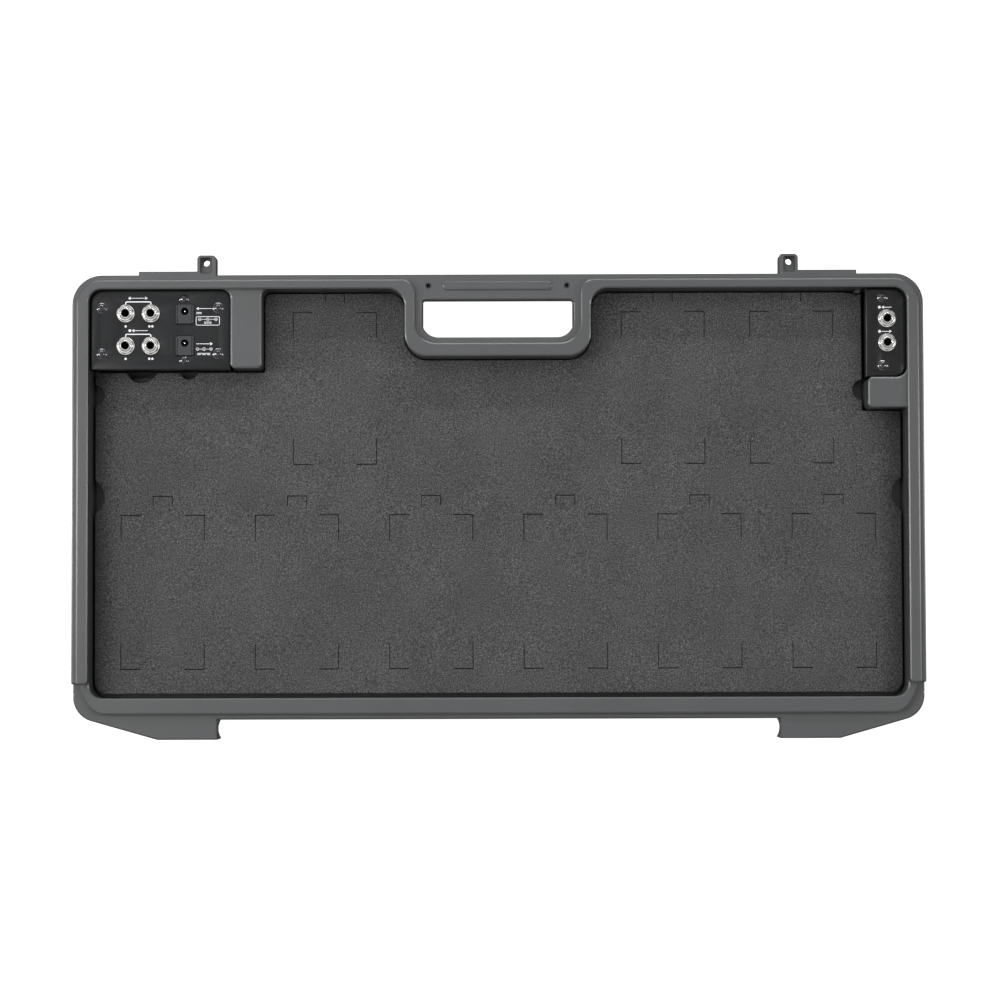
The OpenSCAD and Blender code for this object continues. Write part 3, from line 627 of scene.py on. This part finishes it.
# The slits from their bottom up: (half width across x, half width across y, extra length, height)
SLIT = ((0.22 * MM, 0.18 * MM, 0, -8 * MM), (0.34 * MM, 0.24 * MM, 0.2 * MM, -0.7 * MM),
        (0.75 * MM, 0.6 * MM, 0.5 * MM, 0.3 * MM))

# How the pad gives way: the top's ends dip, its sides bulge out and its back edge is drawn out
DIP, DIP_REACH, DIP_DEPTH = 1.8 * MM, 17 * MM, 3 * MM
BULGE, BULGE_REACH = 0.6 * MM, 12 * MM
BACK_OUT, BACK_REACH = 1.5 * MM, 14 * MM
# The small moulded pin at the tray's back wall, which the drawn-out edge stays clear of
PIN_X, PIN_CLEAR = CASE_SIDE - 52.7 * MM, 5 * MM


def slit(bm, outline):
    """A cutter for a slit with open lips; outline(half x, half y, extra) gives its points."""
    loft(bm, *[(outline(h, v, e), FOAM_HIGH.z + z) for h, v, e, z in SLIT])


def corner_slit(bm, x, y, sx, sy):
    """An L-shaped slit whose corner is at (x, y), reaching inwards along sx and sy."""
    def outline(h, v, e):
        points = [(-v, -h), (ARM_X + e, -h), (ARM_X + e, h), (v, h), (v, ARM_Y + e),
                  (-v, ARM_Y + e)]
        points = [(x + sx * px, y + sy * py) for px, py in points]
        return points if sx * sy > 0 else points[::-1]
    slit(bm, outline)


def tab_slit(bm, x, y):
    """A slit on three sides of a small tab, open towards the front."""
    def outline(h, v, e):
        w, l = TAB_HALF, TAB_LEG + e
        points = [(-w - v, -l), (-w + v, -l), (-w + v, -h), (w - v, -h),
                  (w - v, -l), (w + v, -l), (w + v, h), (-w - v, h)]
        return [(x + px, y + py) for px, py in points]
    slit(bm, outline)


def leg_slit(bm, x, y0, y1):
    """A straight slit from y0, where it closes, to y1."""
    slit(bm, lambda h, v, e: [(x - v, y0 - e), (x + v, y0 - e), (x + v, y1), (x - v, y1)])


def foam_slits():
    """One cutter for all slits. Tabs that reach past the pad's back edge keep only their legs."""
    bm = bmesh.new()
    for x, back, front in ROW_FRONT + ROW_BACK:
        for s in (-1, 1):
            corner_slit(bm, x + s * PEDAL_HALF, back, -s, -1)
            corner_slit(bm, x + s * PEDAL_HALF, front, -s, 1)
        tab = back + TAB_BEHIND
        if tab < FOAM_HIGH.y - 3 * MM:
            tab_slit(bm, x, tab)
        else:
            for s in (-1, 1):
                leg_slit(bm, x + s * TAB_HALF, tab - TAB_LEG, FOAM_HIGH.y + 2 * MM)
    return solid("foam_slits", bm)


def nearness(distance, reach):
    """1 at no distance, down to 0 at reach."""
    return max(0, 1 - distance / reach)


def foam():
    """The cut foam pad: soft edges, real slits, and a surface that isn't quite flat."""
    pad = from_bmesh("foam_cut", cad_mesh("foam_pad"))
    bevel(pad, 1.1 * MM, 3, 60)
    apply_modifiers(pad)
    cut_away(pad, foam_slits())
    bm = bmesh.new()
    bm.from_mesh(pad.data)
    bpy.data.objects.remove(pad)
    grid_cuts(bm, 8 * MM, FOAM_LOW, FOAM_HIGH)
    for v in bm.verts:
        p = v.co
        if p.z > FOAM_HIGH.z - DIP_DEPTH:
            p.z -= DIP * nearness(FOAM_HIGH.x - abs(p.x), DIP_REACH) ** 1.6
            flat = Vector((p.x, p.y, 0))
            p.z += (0.35 * noise.noise(flat / 0.035) + 0.12 * noise.noise(flat / 0.009)) * MM
        p.x += math.copysign(BULGE * nearness(FOAM_HIGH.x - abs(p.x), BULGE_REACH), p.x)
        if abs(p.x - PIN_X) > PIN_CLEAR:
            p.y += BACK_OUT * nearness(FOAM_HIGH.y - p.y, BACK_REACH)
    piece = from_bmesh("cut_foam", bm, 40)
    finish_piece(piece, "foam", "foam_grey", "foam_pad")


# ---------------------------------------------------------------- fasteners and jacks

SHANK_R = 1.45 * MM
PITCH = 1.1 * MM
WASHER_BORE = 4.9 * MM
NUT_FLAT, NUT_BORE = 13 * MM, 4.87 * MM
BUSHING_R, BUSHING_BORE = 4.72 * MM, 3.24 * MM
COLLAR_R, COLLAR_T = 6.4 * MM, 1.5 * MM


def screw_mesh(name, head_r, head_h, length, flange):
    """A pan-head screw with a cross recess, pointing down from z = 0 under its head. flange is the
    radius of a flat rim round the head, or 0."""
    profile = [(head_r * math.sin(a * DEG), head_h * (0.4 + 0.6 * math.cos(a * DEG)))
               for a in range(0, 91, 10)]
    if flange:
        profile += [(head_r, 0.62 * MM), (flange - 0.75 * MM, 0.5 * MM), (flange, 0.12 * MM),
                    (flange, 0)]
    else:
        profile += [(head_r, head_h * 0.12), (head_r * 0.93, 0)]
    profile.append((SHANK_R * 0.9, 0))
    z = -1.2 * MM
    while z > -length + 2 * PITCH:
        profile += [(SHANK_R, z), (SHANK_R * 0.78, z - PITCH / 2)]
        z -= PITCH
    profile += [(SHANK_R * 0.6, -length + 0.6 * MM), (0, -length)]
    bm = bmesh.new()
    lathe(bm, profile, (0, 0, 0), 36, closed=False)
    head = solid(name, bm, 40)

    def bar(x, y):
        return [(-x, -y), (x, -y), (x, y), (-x, y)]
    cross = bmesh.new()
    low, low_w, high, high_w = (head_r * part for part in (0.14, 0.09, 0.6, 0.13))
    grow = 0.02 * MM  # keeps the two bars' ends at different heights
    loft(cross, (bar(low, low_w), head_h * 0.25), (bar(high, high_w), head_h + 0.3 * MM))
    loft(cross, (bar(low_w, low), head_h * 0.25 - grow),
         (bar(high_w, high), head_h + 0.3 * MM + grow))
    cut_away(head, solid("cross", cross), crossing=True)
    mesh = head.data
    bpy.data.objects.remove(head)
    return mesh


def screws(name, node, head_h, up=False, flange=0):
    """One piece of screws, each standing where a solid of the CAD node does."""
    bm = bmesh.new()
    boxes = solids(node)
    low, high = boxes[0]
    mesh = screw_mesh(name, (high.x - low.x) / 2, head_h, high.z - low.z - head_h, flange)
    for box in boxes:
        at = middle(box)
        at.z = box[0].z + head_h if up else box[1].z - head_h
        turn = Matrix.Rotation(RNG.uniform(0, 90) * DEG, 4, "Z")
        if up:
            turn = Matrix.Rotation(math.pi, 4, "X") @ turn
        placed = mesh.copy()
        placed.transform(Matrix.Translation(at) @ turn)
        bm.from_mesh(placed)
        bpy.data.meshes.remove(placed)
    finish_piece(from_bmesh(name, bm, 35), "case", "screw_black", node)


def hex_nut(bm, at, height, turn, sides=72):
    """A hexagon whose upper and lower corners are turned off by a cone."""
    tip = NUT_FLAT * 0.545
    # (height, radius of the cone there) from the bottom up
    cones = [(0, NUT_FLAT * 0.485), (0.32 * MM, tip), (height - 0.75 * MM, tip),
             (height - 0.4 * MM, (tip + NUT_FLAT * 0.47) / 2),
             (height - 0.06 * MM, NUT_FLAT * 0.478), (height, NUT_FLAT * 0.46)]
    angles = [360 * k / sides for k in range(sides)]
    hexagon = [NUT_FLAT / 2 / math.cos(((a - turn) % 60 - 30) * DEG) for a in angles]
    levels = [([min(r, cone) for r in hexagon], z) for z, cone in cones]
    levels += [([r] * sides, z) for r, z in ((NUT_BORE + 0.45 * MM, height),
                                             (NUT_BORE, height - 0.4 * MM), (NUT_BORE, 0))]
    rings = [[bm.verts.new((at.x + r * math.cos(a * DEG), at.y + r * math.sin(a * DEG), at.z + z))
              for a, r in zip(angles, radii)] for radii, z in levels]
    for a, b in zip(rings, rings[1:] + rings[:1]):
        for k in range(sides):
            n = (k + 1) % sides
            bm.faces.new((a[k], a[n], b[n], b[k]))


def bushing(name):
    """A jack's threaded bushing with its collar under the panel."""
    low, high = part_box(name)
    tall = high.z - low.z
    collar = PANEL_Z - PANEL_T - low.z
    root = BUSHING_R - 0.28 * MM
    profile = [(BUSHING_BORE, 0), (BUSHING_R, 0), (BUSHING_R, collar - COLLAR_T),
               (COLLAR_R, collar - COLLAR_T), (COLLAR_R, collar), (BUSHING_R - 0.3 * MM, collar)]
    z = collar + 0.2 * MM
    while z < tall - 0.9 * MM:
        profile += [(root, z), (BUSHING_R, z + 0.3 * MM)]
        z += 0.6 * MM
    profile += [(root, tall - 0.35 * MM), (BUSHING_R - 0.5 * MM, tall),
                (BUSHING_BORE + 0.45 * MM, tall), (BUSHING_BORE, tall - 0.45 * MM)]
    bm = bmesh.new()
    lathe(bm, profile, (*middle(name).xy, low.z), 64)
    finish_piece(solid(name + "_threaded", bm, 35), "case", "nickel", name)


def jacks():
    """Washers, nuts and bushings of the six jacks."""
    washer, nut = bmesh.new(), bmesh.new()
    for low, high in solids("jack_washers"):
        r, t, c = (high.x - low.x) / 2, high.z - low.z, 0.18 * MM
        lathe(washer, [(WASHER_BORE, 0), (r - c, 0), (r, c), (r, t - c), (r - c, t),
                       (WASHER_BORE + c, t), (WASHER_BORE, t - c)],
              (*middle((low, high)).xy, low.z), 64)
    for low, high in solids("jack_nuts"):
        at = middle((low, high))
        at.z = low.z
        hex_nut(nut, at, high.z - low.z, 17 + RNG.uniform(-14, 14))
    finish_piece(solid("flat_washers", washer, 40), "case", "nickel", "jack_washers")
    finish_piece(solid("hex_nuts", nut, 22), "case", "nickel", "jack_nuts")
    for name in frame["nodes"]:
        if name.endswith("_bushing"):
            bushing(name)


def power_sockets():
    """The two square sockets and their round-ended pins."""
    for side in ("in", "out"):
        rounded(f"dc_{side}_jack", "socket_grey", 0.35 * MM)
        pin = f"dc_{side}_pin"
        low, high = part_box(pin)
        r, tall, dome = (high.x - low.x) / 2, high.z - low.z, 0.9 * MM
        tip = [(r * math.cos(a * DEG), tall - dome + dome * math.sin(a * DEG))
               for a in range(0, 90, 15)]
        bm = bmesh.new()
        lathe(bm, [(0, 0), (r, 0), *tip, (0, tall)], (*middle(pin).xy, low.z), 32, closed=False)
        finish_piece(solid(f"dc_{side}_contact", bm, 40), "case", "nickel", pin)


# ---------------------------------------------------------------- printed marks

PRINT_T = 0.05 * MM
LINE, FINE, HAIR = 0.85 * MM, 0.5 * MM, 0.32 * MM


def stroke(bm, points, width, closed=False):
    """A flat line of ink along points."""
    points = [Vector(p) for p in points]
    count = len(points)
    rings = []
    for i, p in enumerate(points):
        before = points[i - 1] if i or closed else None
        after = points[(i + 1) % count] if i < count - 1 or closed else None
        sides = [Vector((-d.y, d.x)).normalized() for d in
                 ([p - before] if before else []) + ([after - p] if after else [])]
        out = sum(sides, Vector((0, 0))).normalized()
        out *= width / 2 / max(0.35, out.dot(sides[0]))
        rings.append([bm.verts.new((*q, z)) for q, z in
                      ((p + out, PANEL_Z), (p - out, PANEL_Z), (p - out, PANEL_Z + PRINT_T),
                       (p + out, PANEL_Z + PRINT_T))])
    for a, b in zip(rings, rings[1:] + (rings[:1] if closed else [])):
        for k in range(4):
            n = (k + 1) % 4
            bm.faces.new((a[k], a[n], b[n], b[k]))
    if not closed:
        bm.faces.new(rings[0][::-1])
        bm.faces.new(rings[-1])


def bend(points, r, closed=False, steps=5):
    """The same line with its corners rounded to about r."""
    points = [Vector(p) for p in points]
    count = len(points)
    made = []
    for i, p in enumerate(points):
        if not closed and i in (0, count - 1):
            made.append(p)
            continue
        a, b = points[i - 1], points[(i + 1) % count]
        start = p + (a - p).normalized() * min(r, (a - p).length / 2)
        end = p + (b - p).normalized() * min(r, (b - p).length / 2)
        for k in range(steps + 1):
            t = k / steps
            made.append((1 - t) ** 2 * start + 2 * t * (1 - t) * p + t * t * end)
    return made


def blot(bm, outline):
    """A flat patch of ink."""
    loft(bm, (outline, PANEL_Z), (outline, PANEL_Z + PRINT_T))


def disc(bm, x, y, r):
    blot(bm, ring(x, y, r, 20))


def circle(bm, x, y, r):
    stroke(bm, ring(x, y, r, 24), HAIR, closed=True)


def arrow(bm, x0, x1, y, size=1.35 * MM):
    """A line from x0 to x1 that ends in a solid head."""
    s = 1 if x1 > x0 else -1
    stroke(bm, [(x0, y), (x1 - s * size * 1.2, y)], FINE)
    head = [(x1, y), (x1 - s * size * 1.6, y + size), (x1 - s * size * 1.6, y - size)]
    blot(bm, head if s > 0 else head[::-1])


def signal_mark(bm, x, y, half, outwards):
    """A socket dot with an arrow that leaves it, or one that comes to it."""
    disc(bm, x - half + 0.9 * MM, y, 1.15 * MM)
    if outwards:
        arrow(bm, x - half + 2.6 * MM, x + half, y)
    else:
        arrow(bm, x + half, x - half + 2.6 * MM, y)


def direct_current(bm, x, y, w):
    """The sign for direct current: a line over three dashes."""
    apart, dash = 0.55 * MM, w / 3.8
    stroke(bm, [(x, y + apart), (x + w, y + apart)], FINE)
    for i in range(3):
        a = x + i * (w - dash) / 2
        stroke(bm, [(a, y - apart), (a + dash, y - apart)], FINE)


def polarity(bm, x, y, w):
    """The barrel plug's polarity: minus, a ring round a dot, plus."""
    r, arc_r, half, gap = 1.15 * MM, 1.3 * MM, 0.6 * MM, 0.16 * MM
    left, mid, right = x + r, x + w / 2, x + w - r
    for c in (left, right):
        circle(bm, c, y, r)
        stroke(bm, [(c - half, y), (c + half, y)], HAIR)
    for s in (-1, 1):
        stroke(bm, [(right, y + s * gap), (right, y + s * half)], HAIR)
    stroke(bm, [(mid + arc_r * math.cos(a * DEG), y + arc_r * math.sin(a * DEG))
                for a in range(35, 326, 15)], HAIR)
    disc(bm, mid, y, 0.45 * MM)
    stroke(bm, [(left + r + gap, y), (mid - arc_r - gap, y)], HAIR)
    stroke(bm, [(mid + 0.4 * MM, y), (right - r - gap, y)], HAIR)


def jack_marks(bm):
    """Arrows for what goes in and out, and one or two dots for the two channels."""
    for row in ("output", "return"):
        a, b = (middle(f"{row}_jack_{k}_bushing") for k in "ab")
        y, drop, below = a.y + 9.8 * MM, a.y + 7.7 * MM, a.y - 10.9 * MM
        stroke(bm, bend([(a.x, drop), (a.x, y), (b.x, y), (b.x, drop)], 1.4 * MM), LINE)
        signal_mark(bm, (a.x + b.x) / 2, y + 3.1 * MM, 8 * MM, row == "output")
        disc(bm, a.x, below, 1 * MM)
        for s in (-1, 1):
            disc(bm, b.x + s * 1.3 * MM, below, 1 * MM)
    for name, outwards in (("input_jack", False), ("send_jack", True)):
        at = middle(name + "_bushing")
        signal_mark(bm, at.x - 1.5 * MM, at.y + 9.35 * MM, 5.6 * MM, outwards)


def power_marks(bm):
    """Current flows in at the upper socket, whose polarity is framed, and out at the lower one."""
    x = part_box("dc_in_jack")[1].x + 2 * MM
    y = middle("dc_in_jack").y
    arrow(bm, x + 13 * MM, x, y + 4.7 * MM)
    direct_current(bm, x, y + 0.9 * MM, 4.6 * MM)
    right, low, high = x + 19.6 * MM, y - 9.3 * MM, y - 2.1 * MM
    border = bend([(x, low), (right, low), (right, high), (x, high)], 1.2 * MM, closed=True)
    stroke(bm, border, FINE, closed=True)
    polarity(bm, x + 1.8 * MM, y - 4.4 * MM, 16 * MM)
    direct_current(bm, x + 6.8 * MM, y - 7.3 * MM, 6 * MM)
    y = middle("dc_out_jack").y
    arrow(bm, x, x + 14 * MM, y + 1.7 * MM)
    polarity(bm, x, y - 2.8 * MM, 13.6 * MM)
    direct_current(bm, x + 1 * MM, y - 6.9 * MM, 11 * MM)


def prints():
    bm = bmesh.new()
    jack_marks(bm)
    power_marks(bm)
    piece = solid("panel_marks", bm)
    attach(piece, "case")
    paint(piece, ink())


# ---------------------------------------------------------------- stage

def stage():
    """A pale floor that glows enough to stay white, and that shiny pieces don't see."""
    bm = bmesh.new()
    bmesh.ops.create_grid(bm, x_segments=1, y_segments=1, size=6)
    floor = from_bmesh("floor", bm)
    floor.location.z = -0.3 * MM
    floor.visible_glossy = False
    s = Shader("floor_white", 0.9, specular=0.1)
    s.out.inputs["Base Color"].default_value = (0.35, 0.35, 0.35, 1)
    s.out.inputs["Emission Color"].default_value = (1, 1, 1, 1)
    s.put(Emission_Strength=0.97)
    paint(floor, s.mat)


def soft_light(name, at, size, radiance):
    """A rectangular light that looks at the case."""
    light = bpy.data.lights.new(name, "AREA")
    light.shape = "RECTANGLE"
    light.size, light.size_y = size
    light.energy = radiance * math.pi * size[0] * size[1]
    lamp = link(name, light)
    lamp.location = at
    lamp.rotation_mode = "QUATERNION"
    lamp.rotation_quaternion = (Vector((0, 0, 0.03)) - Vector(at)).to_track_quat("-Z", "Y")
    return lamp


def sky():
    """A bright ceiling that ends about 50 degrees from straight up, brightest at the back left."""
    world = bpy.data.worlds.new("studio")
    world.use_nodes = True
    n = Nodes(world.node_tree, "Generated")
    ceiling = n.stops(n.along("Z"), [(0.0, 0.06), (0.5, 0.1), (0.66, 0.48), (0.93, 0.55),
                                     (0.985, 0.75)])
    to_back = n.span(n.along("Y"), -1, 1, 0.8, 1.2)
    to_left = n.span(n.along("X"), -0.2, 0.2, 1.3, 0.7)
    background = n.tree.nodes["Background"]
    background.inputs["Color"].default_value = (1, 1, 1, 1)
    n.wire(n.math("MULTIPLY", n.math("MULTIPLY", ceiling, to_back), to_left),
           background.inputs["Strength"])
    bpy.context.scene.world = world


def studio():
    sky()
    soft_light("left_strip", (-2.0, 0.1, 1.5), (0.22, 2.4), 20)
    soft_light("right_strip", (2.0, 0.1, 1.5), (0.22, 2.4), 13)
    soft_light("back_strip", (0, 2.2, 1.5), (2.6, 0.22), 14)
    key = soft_light("key_softbox", (-0.45, 0.75, 1.7), (1.2, 0.8), 3.6)
    key.visible_glossy = False
    bpy.context.scene.view_settings.view_transform = "Standard"


def camera():
    data = bpy.data.cameras.new("camera")
    data.sensor_width = 36
    data.lens = CAMERA_LENS
    data.clip_start, data.clip_end = 0.1, 20
    cam = link("camera", data)
    turn = Matrix.Rotation(CAMERA_TILT, 4, "X") @ Matrix.Rotation(CAMERA_ROLL, 4, "Z")
    cam.matrix_world = Matrix.Translation(CAMERA_AT) @ turn
    bpy.context.scene.camera = cam


camera()
studio()
stage()
for subpart in frame["record"]["subparts"]:
    paint(frame["nodes"][subpart["node"]], MATERIALS[subpart["material_slot"]])
case()
foam()
sheet("output_panel", 0.6 * MM)
sheet("input_panel", 1 * MM)
rounded("handle_cover", "grip_grey", 0.8 * MM)
rounded("rubber_feet", "rubber_black", 0.7 * MM, 3)
screws("output_panel_pan_screws", "output_panel_screws", 2.2 * MM, flange=4.5 * MM)
screws("input_panel_pan_screws", "input_panel_screws", 2.2 * MM, flange=4.3 * MM)
screws("socket_pan_screws", "dc_screws", 2.2 * MM, flange=4 * MM)
screws("grip_pan_screws", "handle_screws", 2 * MM, up=True)
screws("rubber_foot_pan_screws", "foot_screws", 1.4 * MM, up=True)
screws("box_pan_screws", "box_screws", 1.8 * MM, up=True)
jacks()
power_sockets()
prints()
